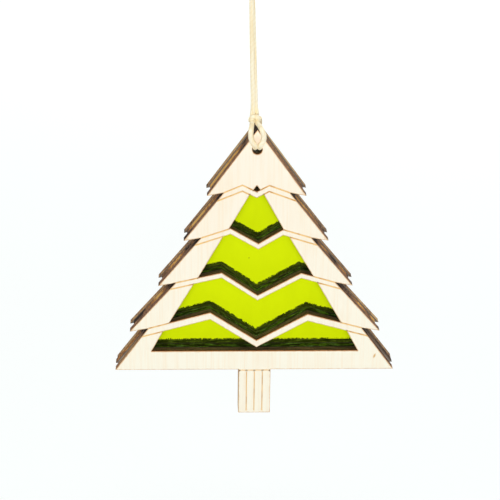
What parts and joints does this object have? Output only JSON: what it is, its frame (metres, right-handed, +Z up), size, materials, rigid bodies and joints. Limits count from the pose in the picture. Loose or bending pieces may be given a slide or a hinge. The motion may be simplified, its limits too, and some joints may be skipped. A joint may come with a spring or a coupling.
{
  "type": "hanging tree ornament",
  "caption": "Flat Christmas tree ornament of stacked laser-cut birch frames with a zigzag window over a green backing panel, hung on a doubled cotton cord.",
  "frame": {"origin": "top of the eye in the cord, where a hook carries the ornament, under the knot", "axes": "+Z up along the hanging tree, +X to the right seen from the front, +Y from the front face to the backing panel"},
  "size_m": [0.0869, 0.0128, 0.1499],
  "materials": {
    "birch": "bare, lightly sanded",
    "green_paint": "satin paint",
    "cotton": "twisted cotton cord"
  },
  "bodies": {
    "eye": {"cord_eye_front": "cotton", "cord_eye_back": "cotton", "cord_knot": "cotton", "cord_end_left": "cotton", "cord_end_right": "cotton"},
    "strands": {"cord_strand_front": "cotton", "cord_strand_back": "cotton"},
    "hitch": {"cord_hitch": "cotton"},
    "tree": {"front_frame": "birch", "middle_frame": "birch", "rear_frame": "birch", "backing_panel": "green_paint"}
  },
  "joints": [
    {"name": "twist", "type": "hinge", "parent": "eye", "child": "strands", "pos_m": [0.00024, 0, -0.008], "axis": [-0.0313, 0, 0.9995], "range_deg": [-180, 180]},
    {"name": "nod", "type": "hinge", "parent": "strands", "child": "hitch", "pos_m": [0.00136, 0, -0.04352], "axis": [1, 0, 0], "range_deg": [-12, 12]},
    {"name": "rock", "type": "hinge", "parent": "hitch", "child": "tree", "pos_m": [0.00215, 0, -0.0529], "axis": [0, 1, 0], "range_deg": [-15, 15]}
  ]
}
